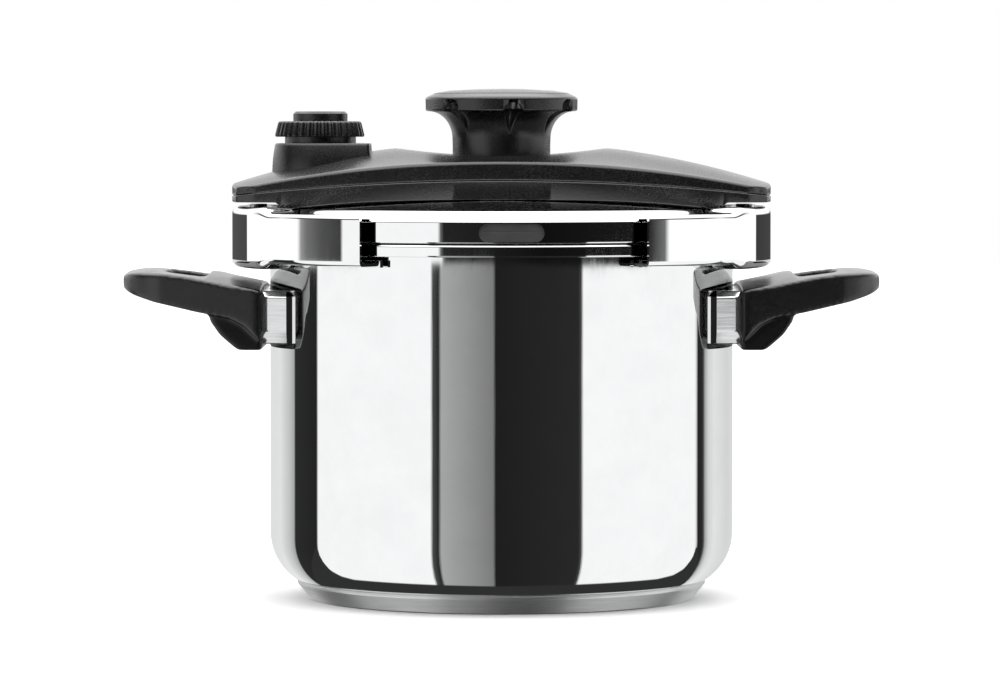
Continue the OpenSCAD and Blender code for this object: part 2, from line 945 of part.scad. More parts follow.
pot_body();
base_core();
base_cap();
on_left() pot_bracket();  // left_bracket
pot_bracket();  // right_bracket
on_left() flame_guard();  // left_flame_guard
flame_guard();  // right_flame_guard
on_left() grip();  // left_handle
grip();  // right_handle
on_left() grip_screw();  // left_handle_screw
grip_screw();  // right_handle_screw
lid_shell();
lid_gasket();
guide_rail();
centre_post();
post_nut();
shoulder_screw();
lower_cover();
upper_cover();
cover_screws();
valve_nozzle();
valve_seal();
valve_nut();
safety_body();
safety_nut();
safety_poppet();
safety_spring();
indicator_bush();
indicator_nut();
indicator_pin();
indicator_seal();
indicator_spring();
on_left() jaw();  // left_jaw
on_left() arm(valve_passage);  // left_arm
on_left() rivets();  // left_rivets
on_left() cam_pin();  // left_cam_pin
jaw();  // right_jaw
arm(indicator_passage);  // right_arm
rivets();  // right_rivets
cam_pin();  // right_cam_pin
knob();
knob_cap();
spindle();
cam_disc();
regulator_knob();
regulator_cap();
valve_cone();
valve_spring();
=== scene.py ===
import bisect
import json
import math

import bmesh
import bpy
from mathutils import Matrix, Vector


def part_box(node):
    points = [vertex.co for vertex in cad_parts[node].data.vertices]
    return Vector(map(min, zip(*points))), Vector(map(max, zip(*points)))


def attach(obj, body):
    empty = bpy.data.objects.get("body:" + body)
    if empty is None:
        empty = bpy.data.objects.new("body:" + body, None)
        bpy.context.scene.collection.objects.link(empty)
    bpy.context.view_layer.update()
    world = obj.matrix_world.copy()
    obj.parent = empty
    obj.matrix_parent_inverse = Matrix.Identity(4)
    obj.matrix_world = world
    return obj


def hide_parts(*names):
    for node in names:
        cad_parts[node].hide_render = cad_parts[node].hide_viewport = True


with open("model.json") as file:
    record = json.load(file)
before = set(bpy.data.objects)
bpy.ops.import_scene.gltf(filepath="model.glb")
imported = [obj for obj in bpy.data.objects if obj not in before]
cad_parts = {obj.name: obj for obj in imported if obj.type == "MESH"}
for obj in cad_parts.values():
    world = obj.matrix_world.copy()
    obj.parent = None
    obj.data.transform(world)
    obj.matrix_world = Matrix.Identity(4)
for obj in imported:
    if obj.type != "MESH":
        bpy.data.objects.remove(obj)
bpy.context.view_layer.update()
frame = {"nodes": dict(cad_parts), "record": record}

# ---------------------------------------------------------------- sizes, in metres, from the frame

MM = 0.001


def low(node):
    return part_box(node)[0]


def high(node):
    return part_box(node)[1]


RIM_R = high("pot_body")[0]                    # hem of the pot's rim
RIM_Z = high("pot_body")[2]
POT_R = RIM_R - 6 * MM                         # pot wall
FLOOR_Z = low("pot_body")[2]                   # underside of the pot's floor
CORNER_R = 26 * MM                             # curve between wall and floor
SHEET = 1 * MM                                 # sheet steel of pot and lid
BASE_R = high("base_cap")[0]
BASE_H = high("base_cap")[2]
LID_R = high("lid_shell")[0]
SKIRT_Z = low("lid_shell")[2]
CROWN_Z = high("lid_shell")[2]
JAW_R = high("right_jaw")[0]
JAW_LOW = low("right_jaw")[2]
JAW_HIGH = high("right_jaw")[2]
KNOB_R = high("knob")[0]
COVER_L = high("upper_cover")[0]
COVER_W = high("upper_cover")[1]
TURRET_Z = high("upper_cover")[2]
VALVE_X = (low("regulator_knob")[0] + high("regulator_knob")[0]) / 2
VALVE_R = high("regulator_knob")[0] - VALVE_X
PIN_X = (low("indicator_pin")[0] + high("indicator_pin")[0]) / 2
HANDLE_TIP = high("right_handle")[0]


# ---------------------------------------------------------------- mesh tools

GUARD = 0.15 * MM


def rounded(corners, steps=6, closed=True):
    """Outline through corners (x, y, radius), with an arc of that radius at each.

    A point just outside either end of an arc keeps the shading of the straight beside it flat.
    """
    count = len(corners)
    points = [Vector(corner[:2]) for corner in corners]

    def reach(i):
        i %= count
        if corners[i][2] <= 0 or (not closed and i in (0, count - 1)):
            return 0
        half = (points[i - 1] - points[i]).angle(points[(i + 1) % count] - points[i]) / 2
        return corners[i][2] / math.tan(half)

    out = []
    for i, p in enumerate(points):
        used = reach(i)
        if not used:
            out.append(tuple(p))
            continue
        a, b = points[i - 1] - p, points[(i + 1) % count] - p
        to_a, to_b = a.normalized(), b.normalized()
        start, end = p + to_a * used, p + to_b * used
        centre = p + (to_a + to_b).normalized() * math.hypot(used, corners[i][2])
        turn = (start - centre).angle_signed(end - centre)
        if a.length > used + reach(i - 1) + 3 * GUARD:
            out.append(tuple(start + to_a * GUARD))
        for k in range(steps + 1):
            out.append(tuple(centre + Matrix.Rotation(-turn * k / steps, 2) @ (start - centre)))
        if b.length > used + reach(i + 1) + 3 * GUARD:
            out.append(tuple(end + to_b * GUARD))
    return out


def make(name, verts, faces, material, sharp=30):
    """Mesh object, smooth shaded, with edges steeper than sharp degrees kept crisp."""
    mesh = bpy.data.meshes.new(name)
    mesh.from_pydata([tuple(v) for v in verts], [], faces)
    piece = bpy.data.objects.new(name, mesh)
    bpy.context.scene.collection.objects.link(piece)
    piece.data.materials.append(material)
    crisp(piece, sharp)
    return piece


def crisp(piece, sharp):
    bm = bmesh.new()
    bm.from_mesh(piece.data)
    bmesh.ops.remove_doubles(bm, verts=bm.verts, dist=1e-7)
    bmesh.ops.dissolve_degenerate(bm, edges=bm.edges, dist=1e-7)
    bmesh.ops.recalc_face_normals(bm, faces=bm.faces)
    for face in bm.faces:
        face.smooth = True
    for edge in bm.edges:
        edge.smooth = edge.calc_face_angle(0) < math.radians(sharp)
    bm.to_mesh(piece.data)
    bm.free()


def grid_faces(rows, columns, wrap_rows, wrap_columns):
    faces = []
    for i in range(rows if wrap_rows else rows - 1):
        for j in range(columns if wrap_columns else columns - 1):
            a, b = i * columns, (i + 1) % rows * columns
            k = (j + 1) % columns
            faces.append((a + j, a + k, b + k, b + j))
    return faces


def lathe(name, outline, material, segments=256, centre=(0, 0), closed=True, sharp=30):
    """Turns an outline of (radius, height) points about an upright axis."""
    verts = []
    for i in range(segments):
        a = math.tau * i / segments
        verts += [(centre[0] + r * math.cos(a), centre[1] + r * math.sin(a), z) for r, z in outline]
    faces = grid_faces(segments, len(outline), True, closed)
    return make(name, verts, faces, material, sharp)


def modified(piece, kind, **settings):
    """Adds one modifier to a piece and applies it."""
    modifier = piece.modifiers.new("step", kind)
    for key, value in settings.items():
        setattr(modifier, key, value)
    graph = bpy.context.evaluated_depsgraph_get()
    graph.update()
    mesh = bpy.data.meshes.new_from_object(piece.evaluated_get(graph))
    piece.modifiers.clear()
    old = piece.data
    piece.data = mesh
    bpy.data.meshes.remove(old)


def cut(piece, *tools, operation="DIFFERENCE", solver="EXACT"):
    for tool in tools:
        modified(piece, "BOOLEAN", object=tool, operation=operation, solver=solver)
        bpy.data.objects.remove(tool, do_unlink=True)


def prism(name, outline, start, end, place, material, sharp=30):
    """Solid of an outline pulled from start to end; place(u, v, w) gives a point."""
    count = len(outline)
    verts = [place(u, v, w) for w in (start, end) for u, v in outline]
    faces = [tuple(range(count)), tuple(range(2 * count - 1, count - 1, -1))]
    faces += [(i, (i + 1) % count, count + (i + 1) % count, count + i) for i in range(count)]
    return make(name, verts, faces, material, sharp)


def along_z(u, v, w):
    return (u, v, w)


def along_y(u, v, w):
    return (u, w, v)


def smoothstep(low_edge, high_edge, value):
    t = min(1, max(0, (value - low_edge) / (high_edge - low_edge)))
    return t * t * (3 - 2 * t)


def ready(piece, body, slot_name, *nodes):
    """Attaches every piece to its body and hides the CAD nodes it stands for; the finish passed with it
    (slot_name) is not used.
    """
    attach(piece, body)
    if nodes:
        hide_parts(*nodes)
    return piece


# ---------------------------------------------------------------- materials

class Graph:
    """A short way to write a material's nodes."""

    def __init__(self, name):
        self.material = bpy.data.materials.new(name)
        self.material.use_nodes = True
        self.nodes = self.material.node_tree.nodes
        self.links = self.material.node_tree.links
        self.shader = self.nodes["Principled BSDF"]
        self.place = self.nodes.new("ShaderNodeTexCoord").outputs["Object"]

    def link(self, source, target):
        self.links.new(source, target)

    def scaled(self, x, y, z):
        mapping = self.nodes.new("ShaderNodeMapping")
        mapping.inputs["Scale"].default_value = (x, y, z)
        self.link(self.place, mapping.inputs["Vector"])
        return mapping.outputs["Vector"]

    def noise(self, scale, detail=2.0, rough=0.5, vector=None):
        node = self.nodes.new("ShaderNodeTexNoise")
        node.inputs["Scale"].default_value = scale
        node.inputs["Detail"].default_value = detail
        node.inputs["Roughness"].default_value = rough
        self.link(vector or self.place, node.inputs["Vector"])
        return node.outputs["Fac"]

    def span(self, source, low_in, high_in, low_out, high_out):
        node = self.nodes.new("ShaderNodeMapRange")
        ends = (("From Min", low_in), ("From Max", high_in), ("To Min", low_out), ("To Max", high_out))
        for name, value in ends:
            node.inputs[name].default_value = value
        self.link(source, node.inputs["Value"])
        return node.outputs["Result"]

    def math(self, operation, a, b):
        node = self.nodes.new("ShaderNodeMath")
        node.operation = operation
        for socket, value in zip(node.inputs, (a, b)):
            if isinstance(value, (int, float)):
                socket.default_value = value
            else:
                self.link(value, socket)
        return node.outputs["Value"]

    def blend(self, factor, first, second):
        node = self.nodes.new("ShaderNodeMix")
        node.data_type = "RGBA"
        node.inputs["A"].default_value = (*first, 1)
        node.inputs["B"].default_value = (*second, 1)
        self.link(factor, node.inputs["Factor"])
        return node.outputs["Result"]

    def bump(self, height, strength, distance, under=None):
        node = self.nodes.new("ShaderNodeBump")
        node.inputs["Strength"].default_value = strength
        node.inputs["Distance"].default_value = distance
        self.link(height, node.inputs["Height"])
        if under:
            self.link(under, node.inputs["Normal"])
        return node.outputs["Normal"]

    def finish(self, colour, roughness, normal=None, **sockets):
        self.link(colour, self.shader.inputs["Base Color"])
        self.link(roughness, self.shader.inputs["Roughness"])
        if normal:
            self.link(normal, self.shader.inputs["Normal"])
        for name, value in sockets.items():
            self.shader.inputs[name.replace("_", " ")].default_value = value
        return self.material


def polished_steel(name, smear=1.0):
    """Mirror-polished sheet: faint wiping marks, slight waviness from pressing and polishing."""
    g = Graph(name)
    wiped = g.noise(55, 5, 0.62)
    fine = g.noise(900, 2, 0.5, g.scaled(1, 1, 0.05))
    marks = g.math("ADD", g.math("MULTIPLY", wiped, 0.7), g.math("MULTIPLY", fine, 0.3))
    colour = g.blend(g.span(wiped, 0.35, 0.7, 0, 1), (0.83, 0.835, 0.84), (0.79, 0.795, 0.80))
    roughness = g.span(marks, 0.35, 0.72, 0.008, 0.008 + 0.022 * smear)
    wave = g.bump(g.noise(9, 1, 0.4), 0.02, 0.002)
    return g.finish(colour, roughness, g.bump(fine, 0.004, 0.0004, wave), Metallic=1.0)


def brushed_steel(name, colour_a=(0.62, 0.625, 0.63), colour_b=(0.54, 0.545, 0.55)):
    """Ground steel: long fine scratches across the piece."""
    g = Graph(name)
    lines = g.noise(700, 3, 0.6, g.scaled(0.06, 1, 1))
    patch = g.noise(60, 3, 0.5)
    colour = g.blend(g.span(lines, 0.3, 0.7, 0, 1), colour_a, colour_b)
    roughness = g.span(g.math("ADD", lines, patch), 0.7, 1.4, 0.22, 0.4)
    return g.finish(colour, roughness, g.bump(lines, 0.12, 0.0002), Metallic=1.0)


def satin_steel(name, rough, milky):
    """Sheet with a fine satin finish; milky gives the share of its light that is scattered."""
    g = Graph(name)
    lines = g.noise(900, 3, 0.6, g.scaled(0.05, 0.05, 1))
    patch = g.noise(45, 3, 0.5)
    colour = g.blend(g.span(lines, 0.3, 0.7, 0, 1), (0.66, 0.665, 0.67), (0.58, 0.585, 0.59))
    mixed = g.math("ADD", g.math("MULTIPLY", lines, 0.5), g.math("MULTIPLY", patch, 0.5))
    roughness = g.span(mixed, 0.3, 0.7, rough - 0.05, rough + 0.08)
    return g.finish(colour, roughness, g.bump(lines, 0.03, 0.0002), Metallic=1 - milky)


def grained_phenolic(name):
    """Black thermoset with a spark-eroded grain; the peaks are rubbed a little shinier."""
    g = Graph(name)
    coarse = g.noise(1150, 3, 0.65)
    fine = g.noise(2600, 2, 0.6)
    handled = g.noise(40, 3, 0.5)
    colour = g.blend(g.span(coarse, 0.4, 0.68, 0, 1), (0.0022, 0.0022, 0.0025), (0.0075, 0.0075, 0.008))
    mix = g.math("ADD", g.math("MULTIPLY", coarse, 0.75), g.math("MULTIPLY", fine, 0.4))
    worn = g.math("ADD", g.math("MULTIPLY", handled, 0.5), g.math("MULTIPLY", coarse, 0.5))
    roughness = g.span(worn, 0.35, 0.65, 0.2, 0.3)
    return g.finish(colour, roughness, g.bump(mix, 0.2, 0.0004), Specular_IOR_Level=0.6)


def satin_phenolic(name):
    """Finer grained black moulding with a soft sheen and faint flow marks."""
    g = Graph(name)
    flow = g.noise(70, 4, 0.55)
    fine = g.noise(1350, 3, 0.6)
    colour = g.blend(g.span(fine, 0.38, 0.68, 0, 1), (0.002, 0.002, 0.0023), (0.0065, 0.0065, 0.007))
    worn = g.math("ADD", g.math("MULTIPLY", flow, 0.6), g.math("MULTIPLY", fine, 0.4))
    roughness = g.span(worn, 0.3, 0.7, 0.17, 0.28)
    return g.finish(colour, roughness, g.bump(fine, 0.36, 0.0003), Specular_IOR_Level=0.6)


def soft_rubber(name):
    g = Graph(name)
    bloom = g.noise(120, 4, 0.6)
    fine = g.noise(1500, 2, 0.5)
    colour = g.blend(g.span(bloom, 0.3, 0.7, 0, 1), (0.018, 0.018, 0.0195), (0.027, 0.027, 0.0285))
    roughness = g.span(g.math("ADD", bloom, fine), 0.6, 1.4, 0.5, 0.72)
    return g.finish(colour, roughness, g.bump(fine, 0.15, 0.00015))


def turned_metal(name, colour_a, colour_b):
    """Turned brass or aluminium: fine rings of tool marks, a little tarnish."""
    g = Graph(name)
    rings = g.noise(1400, 2, 0.5, g.scaled(0.15, 0.15, 1))
    tarnish = g.noise(90, 4, 0.6)
    colour = g.blend(g.span(tarnish, 0.35, 0.7, 0, 1), colour_a, colour_b)
    roughness = g.span(g.math("ADD", rings, tarnish), 0.7, 1.4, 0.2, 0.42)
    return g.finish(colour, roughness, g.bump(rings, 0.1, 0.00015), Metallic=1.0)


def red_plastic(name):
    g = Graph(name)
    flow = g.noise(200, 3, 0.5)
    fine = g.noise(2500, 2, 0.5)
    colour = g.blend(g.span(flow, 0.3, 0.7, 0, 1), (0.2, 0.012, 0.01), (0.24, 0.018, 0.014))
    return g.finish(colour, g.span(fine, 0.3, 0.7, 0.3, 0.42), g.bump(fine, 0.08, 0.0001))


STEEL = polished_steel("steel_polished")
BRUSHED = brushed_steel("steel_brushed")
BASE_STEEL = satin_steel("steel_base", 0.33, 0.06)
GUARD_STEEL = satin_steel("steel_guard", 0.12, 0.06)
GRAIN = grained_phenolic("black_grain")
SATIN = satin_phenolic("black_satin")
RUBBER = soft_rubber("grey_rubber")
BRASS = turned_metal("brass", (0.72, 0.56, 0.28), (0.6, 0.46, 0.22))
ALUMINIUM = turned_metal("aluminium", (0.74, 0.75, 0.76), (0.66, 0.67, 0.68))
RED = red_plastic("red_plastic")
SLOT_MATERIAL = {
    "steel_polished": STEEL, "steel_brushed": BRUSHED, "black_grain": GRAIN, "black_satin": SATIN,
    "grey_rubber": RUBBER, "brass": BRASS, "aluminium": ALUMINIUM, "red_plastic": RED,
}


def dress_frame():
    """Gives every CAD node that stays in view its real material."""
    for part in frame["record"]["subparts"]:
        node = frame["nodes"][part["node"]]
        material = SLOT_MATERIAL[part["material_slot"]]
        if not node.data.materials:
            node.data.materials.append(material)
        for place in node.material_slots:
            place.material = material


# ---------------------------------------------------------------- pot and base

def build_pot():
    """Pressed pot: flat floor, round corner, straight wall and a rim turned out and hemmed."""
    hem_z = RIM_Z - 6 * MM
    inner_r = POT_R - SHEET
    inner_floor = FLOOR_Z + SHEET
    outline = rounded([
        (0, FLOOR_Z, 0), (POT_R, FLOOR_Z, CORNER_R), (POT_R, RIM_Z - SHEET, 1.2 * MM),
        (RIM_R - SHEET, RIM_Z - SHEET, 0.5 * MM), (RIM_R - SHEET, hem_z, 0.35 * MM),
        (RIM_R, hem_z, 0.6 * MM), (RIM_R, RIM_Z, 1.5 * MM), (inner_r, RIM_Z, 1.8 * MM),
        (inner_r, inner_floor, CORNER_R - SHEET), (0, inner_floor, 0),
    ], steps=14, closed=False)
    pot = lathe("pot_shell", outline, STEEL, 320, closed=False, sharp=50)
    return ready(pot, "pot", "steel_polished", "pot_body")


def build_base():
    """Steel cup pressed round the heat-spreading disc, with a bead where it meets the pot."""
    round_r = 6 * MM
    sheet = 0.8 * MM
    corner = Vector((POT_R - CORNER_R, FLOOR_Z + CORNER_R))
    cup = rounded([
        (0, 0, 0), (BASE_R - round_r, 0, 1.5 * MM), (BASE_R, 7.4 * MM, 0.8 * MM), (BASE_R, BASE_H, 0.35 * MM),
        (BASE_R - sheet, BASE_H, 0.2 * MM), (BASE_R - sheet, 7.6 * MM, 0.5 * MM),
        (BASE_R - round_r - sheet, sheet, 1 * MM), (0, sheet, 0),
    ], steps=8, closed=False)
    cap = lathe("base_cup", cup, BASE_STEEL, 320, closed=False)
    ready(cap, "pot", "steel_polished", "base_cap")
    edge_r = BASE_R - sheet
    arc = []
    for i in range(13):
        r = corner[0] + (edge_r - corner[0]) * i / 12
        arc.append((r, corner[1] - math.sqrt(CORNER_R ** 2 - (r - corner[0]) ** 2)))
    section = [(0, sheet), (BASE_R - round_r - 1.2 * MM, sheet), (edge_r, 7.8 * MM)]
    section += arc[::-1] + [(0, FLOOR_Z)]
    disc = lathe("base_disc", section, ALUMINIUM, 192, closed=False)
    ready(disc, "pot", "aluminium", "base_core")


# ---------------------------------------------------------------- lid

WINDOW_W = 30.2 * MM
WINDOW_H = 8.8 * MM
WINDOW_X = 4.6 * MM
ANNULUS_Z = SKIRT_Z + 11 * MM
STEP_R = 103 * MM
CROWN_R = 960 * MM


def crown_points(inset, r_from, r_to, steps):
    """Points along the lid's shallow crown, from one radius to another."""
    out = []
    for i in range(steps + 1):
        r = r_from + (r_to - r_from) * i / steps
        out.append((r, CROWN_Z - CROWN_R + math.sqrt((CROWN_R - inset) ** 2 - r * r)))
    return out


def stadium(width, height, steps=14):
    """Slot outline with full-round ends, centred on the origin."""
    r = height / 2
    reach = width / 2 - r
    out = []
    for side, start in ((1, -90), (-1, 90)):
        for i in range(steps + 1):
            a = math.radians(start + 180 * i / steps)
            out.append((side * reach + r * math.cos(a), r * math.sin(a)))
    return out


def build_lid():
    """Pressed lid: skirt with a rolled lower edge, flat annulus, step and shallow crown."""
    rise = CROWN_Z - CROWN_R + math.sqrt(CROWN_R ** 2 - (STEP_R - 2 * MM) ** 2)
    outside = rounded([
        (LID_R - SHEET, SKIRT_Z, 0), (LID_R, SKIRT_Z, 0.45 * MM), (LID_R, ANNULUS_Z, 1.6 * MM),
        (STEP_R + 2.6 * MM, ANNULUS_Z, 2.2 * MM), (STEP_R, rise, 2.4 * MM),
        (STEP_R - 14 * MM, rise + 1.7 * MM, 0),
    ], steps=10, closed=False)
    outside = [p for p in outside if p[0] > STEP_R - 4 * MM] + crown_points(0, STEP_R - 5 * MM, 0, 40)
    inside = crown_points(SHEET, 0, STEP_R - 6 * MM, 20) + rounded([
        (STEP_R - 5 * MM, rise - SHEET, 0), (STEP_R - SHEET, rise - SHEET, 1.4 * MM),
        (STEP_R + 1.6 * MM, ANNULUS_Z - SHEET, 1.2 * MM), (LID_R - SHEET, ANNULUS_Z - SHEET, 0.6 * MM),
        (LID_R - SHEET, SKIRT_Z + 0.2 * MM, 0),
    ], steps=5, closed=False)
    lid = lathe("lid_sheet", outside + inside, STEEL, 480, closed=False, sharp=40)
    slot_z = SKIRT_Z + 4.9 * MM
    slot = prism("slot_tool", [(x + WINDOW_X, z + slot_z) for x, z in stadium(WINDOW_W, WINDOW_H, 24)],
                 -LID_R - 5 * MM, -LID_R + 10 * MM, along_y, STEEL)
    cut(lid, slot)
    crisp(lid, 40)
    return ready(lid, "lid", "steel_polished", "lid_shell")


def build_gasket():
    """Silicone seal under the annulus; its outer bead shows in the window."""
    out = LID_R - SHEET - 0.1 * MM
    low_z, top_z = low("lid_gasket")[2], ANNULUS_Z - SHEET - 0.1 * MM
    outline = rounded([
        (104 * MM, low_z, 0.8 * MM), (out, low_z, 1.2 * MM), (out, low_z + 5.6 * MM, 0.2 * MM),
        (out - 0.35 * MM, low_z + 5.8 * MM, 0.2 * MM), (out, low_z + 6 * MM, 0.2 * MM),
        (out, top_z, 1 * MM), (109 * MM, top_z, 0.8 * MM), (109 * MM, low_z + 2.6 * MM, 0.8 * MM),
        (104 * MM, low_z + 2.2 * MM, 0.8 * MM),
    ], steps=5)
    return ready(lathe("lid_seal", outline, RUBBER, 256), "lid", "grey_rubber", "lid_gasket")


# ---------------------------------------------------------------- jaws

JAW_END_R = JAW_R - 4 * MM
JAW_SHEET = 1.5 * MM
JAW_SPAN = {-1: 58.6, 1: 57.2}
BULGE = 21
STEP_SPAN = 14
DROP_START = 26
DROP_END = 30.5
LIP_R = 112.5 * MM
JAW_END_LOW = JAW_LOW + 2.4 * MM
JAW_END_HIGH = JAW_HIGH - 2.8 * MM
FOLD = 3.6 * MM
END_FOLD = 2.3 * MM


def jaw_loop(angle):
    """Channel section at an angle from the jaw's middle: (radius, height) points."""
    swell = smoothstep(BULGE + STEP_SPAN, BULGE, abs(angle))
    deep = smoothstep(DROP_END, DROP_START, abs(angle))
    r = JAW_END_R + (JAW_R - JAW_END_R) * swell
    z0 = JAW_END_LOW + (JAW_LOW - JAW_END_LOW) * deep
    z1 = JAW_END_HIGH + (JAW_HIGH - JAW_END_HIGH) * deep
    fold = END_FOLD + (FOLD - END_FOLD) * deep
    t = JAW_SHEET
    return rounded([
        (LIP_R, z0 + t, 0.4 * MM), (LIP_R, z0, 0.4 * MM), (r, z0, fold), (r, z1, fold),
        (POT_R, z1, 0.4 * MM), (POT_R, z1 - t, 0.4 * MM),
        (r - t, z1 - t, fold - t), (r - t, z0 + t, fold - t),
    ], steps=8)


def jaw_strip(side, angles, loops):
    """Vertices and faces of a closed strip: one loop of (radius, height) at each angle."""
    verts = []
    for angle, loop in zip(angles, loops):
        a = math.radians(angle)
        verts += [(side * r * math.cos(a), side * r * math.sin(a), z) for r, z in loop]
    count = len(loops[0])
    faces = grid_faces(len(angles), count, False, True)
    faces += [tuple(range(count)), tuple(range(len(verts) - 1, len(verts) - count - 1, -1))]
    return verts, faces


def build_jaw(side, name, body, node):
    """Channel that closes over both rims, deeper and wider in its middle third."""
    span = JAW_SPAN[side]
    edge = BULGE + STEP_SPAN
    angles = [BULGE * i / 16 for i in range(16)] + [BULGE + STEP_SPAN * i / 40 for i in range(41)]
    angles += [edge + (span - 0.12 - edge) * i / 24 for i in range(1, 25)] + [span]
    angles = [-a for a in angles[:0:-1]] + angles
    jaw = make(name, *jaw_strip(side, angles, [jaw_loop(a) for a in angles]), STEEL, 35)
    add_tongues(jaw, side, span)
    return ready(jaw, body, "steel_polished", node)


def add_tongues(jaw, side, span):
    """Tongues under both ends of the lower lip; the left jaw's reach past the end."""
    start, reach = (span - 1.5, 2.6) if side < 0 else (span - 4, -1.2)
    depth = 3.2 * MM
    top = JAW_END_LOW + 2.8 * MM
    outline = rounded([
        (LIP_R + 0.6 * MM, top - depth, 0.3 * MM), (LIP_R + 3.5 * MM, top - depth, 0.3 * MM),
        (LIP_R + 3.5 * MM, top, 0.2 * MM), (LIP_R + 0.6 * MM, top, 0.2 * MM),
    ], steps=3)
    for end in (-1, 1):
        angles = [end * (start + (span + reach - start) * i / 6) for i in range(7)]
        cut(jaw, make("tongue", *jaw_strip(side, angles, [outline] * 7), STEEL), operation="UNION")
    crisp(jaw, 35)


# ---------------------------------------------------------------- knob

NECK_R = 23.5 * MM
NECK_TOP = 219.7 * MM
RIM_LOW = 233.3 * MM
RIM_HIGH = 240.6 * MM
FLUTES = 7
FIRST_FLUTE = -80.8


def knob_outline():
    """From the foot of the neck, up the flare, round the rim and over the domed top."""
    foot = low("knob")[2]
    out = [(NECK_R - 0.1 * MM, foot + (NECK_TOP - foot) * i / 8) for i in range(8)]
    for i in range(29):
        t = math.radians(90 * i / 28)
        out.append((NECK_R + (KNOB_R - 1.3 * MM - NECK_R) * (1 - math.cos(t)) ** 1.04,
                    NECK_TOP + (RIM_LOW - NECK_TOP) * math.sin(t)))
    out += rounded([
        (KNOB_R - 1.2 * MM, RIM_LOW, 0), (KNOB_R - 0.1 * MM, RIM_LOW + 0.2 * MM, 0.8 * MM),
        (KNOB_R, RIM_HIGH - 0.8 * MM, 1.6 * MM), (KNOB_R - 5 * MM, RIM_HIGH + 1.5 * MM, 6 * MM),
        (KNOB_R - 12 * MM, RIM_HIGH + 2.6 * MM, 0),
    ], steps=7, closed=False)[1:]
    return out


def flute_depth(angle, z):
    """How far a finger flute is let into the knob: a tear drop that narrows down the flare."""
    top, bottom = 239.0 * MM, 222.5 * MM
    if not bottom < z < top:
        return 0
    drop = (top - z) / (top - bottom)
    half = 4.4 * MM * math.sqrt(min(1, drop / 0.12)) * (1 - smoothstep(0.15, 1.05, drop)) ** 0.7
    pitch = 360 / FLUTES
    off = (angle - FIRST_FLUTE + pitch / 2) % pitch - pitch / 2
    radius = 30 * MM
    across = abs(math.radians(off)) * radius
    if half < 0.15 * MM or across > half:
        return 0
    deep = 4.6 * MM * min(1, half / (4 * MM))
    return deep * (1 - (across / half) ** 2.2)


def build_knob():
    """Moulded lid knob with finger flutes and a domed cap."""
    outline = knob_outline()
    segments = FLUTES * 84
    verts = []
    for i in range(segments):
        angle = 360 * i / segments
        a = math.radians(angle)
        for j, (r, z) in enumerate(outline):
            before, after = outline[max(0, j - 1)], outline[min(len(outline) - 1, j + 1)]
            tangent = Vector((after[0] - before[0], after[1] - before[1])).normalized()
            depth = flute_depth(angle, z)
            r2 = r - tangent[1] * depth
            z2 = z + tangent[0] * depth
            verts.append((r2 * math.cos(a), r2 * math.sin(a), z2))
    faces = grid_faces(segments, len(outline), True, False)
    bottom = tuple(i * len(outline) for i in range(segments))
    top = tuple(i * len(outline) + len(outline) - 1 for i in range(segments - 1, -1, -1))
    knob = make("knob_body", verts, faces + [bottom, top], GRAIN, 50)
    ready(knob, "knob", "black_grain", "knob")
    peak = high("knob_cap")[2]
    seat = RIM_HIGH + 1.2 * MM
    cap = [(r, seat + (peak - seat) * (1 - (r / (KNOB_R - 4 * MM)) ** 2.4)) for r in
           [(KNOB_R - 4.2 * MM) * i / 24 for i in range(25)]]
    cap += [(KNOB_R - 4.2 * MM, seat - 1 * MM), (0, seat - 1 * MM)]
    ready(lathe("knob_dome", cap, SATIN, 192, closed=False, sharp=40), "knob", "black_satin", "knob_cap")


# ---------------------------------------------------------------- cover

COVER_SHEET = 2.2 * MM
STRAP_X = 45 * MM
STRAP_Y = 30 * MM
HOLE_R = 24.4 * MM
PIN_HOLE_R = 4 * MM
# Rounded lower lip of the moulding, in millimetres (inward, above the seam)
UPPER_LIP = ((0, 1.5), (0, 0.95), (0.06, 0.6), (0.2, 0.32), (0.42, 0.12), (0.75, 0.02))


def fall(x):
    return min(abs(x) / COVER_L, 1) ** 2


def half_width(x):
    return 34 * MM + (COVER_W - 34 * MM) * (1 - fall(x))


def seam_at(x):
    return (200.5 - 7.4 * fall(x)) * MM


def edge_at(x):
    return (209.2 - 13.9 * fall(x)) * MM


def under_at(x):
    """Lower edge of the lower cover, with a step up near each end."""
    d = abs(x)
    curve = (191.4 - 4.6 * (min(d, 102 * MM) / (102 * MM)) ** 3.2) * MM
    return curve + (190 * MM - curve) * smoothstep(102.5 * MM, 107.5 * MM, d)


def ridge_at(x):
    d = max(0, abs(x) / MM - 50)
    return (215.8 - 0.1135 * d - 0.00132 * d * d) * MM


def roof_at(x, y):
    s = y / half_width(x)
    roof = edge_at(x) + (ridge_at(x) - edge_at(x)) * (1 - s * s)
    gap = max(0, math.hypot(x, y) - NECK_R) / (50 * MM - NECK_R)
    dish = (210 + 5.8 * gap) * MM
    soft = 0.5 * MM
    return (roof + dish - math.sqrt((roof - dish) ** 2 + soft ** 2)) / 2


def spread(count, edge, reach):
    """Stations from -1 to 1, with extra ones close to both ends to carry a rounded edge."""
    inner = [-1 + reach + (2 - 2 * reach) * i / count for i in range(count + 1)]
    outer = [1 - reach * (1 - math.sin(math.radians(90 * i / edge))) for i in range(1, edge + 1)]
    return [-v for v in outer[::-1]] + inner + outer


def cover_point(u, v, inset):
    """Plan position at u along and v across the cover, both from -1 to 1."""
    corner = 3.2 * MM
    y = v * (half_width(u * COVER_L) - inset - corner * max(0, abs(u) - 0.965) ** 2 / 0.035 ** 2)
    x = u * (math.sqrt((COVER_L - inset) ** 2 - y * y) - corner * max(0, abs(v) - 0.88) ** 2 / 0.12 ** 2)
    return x, y


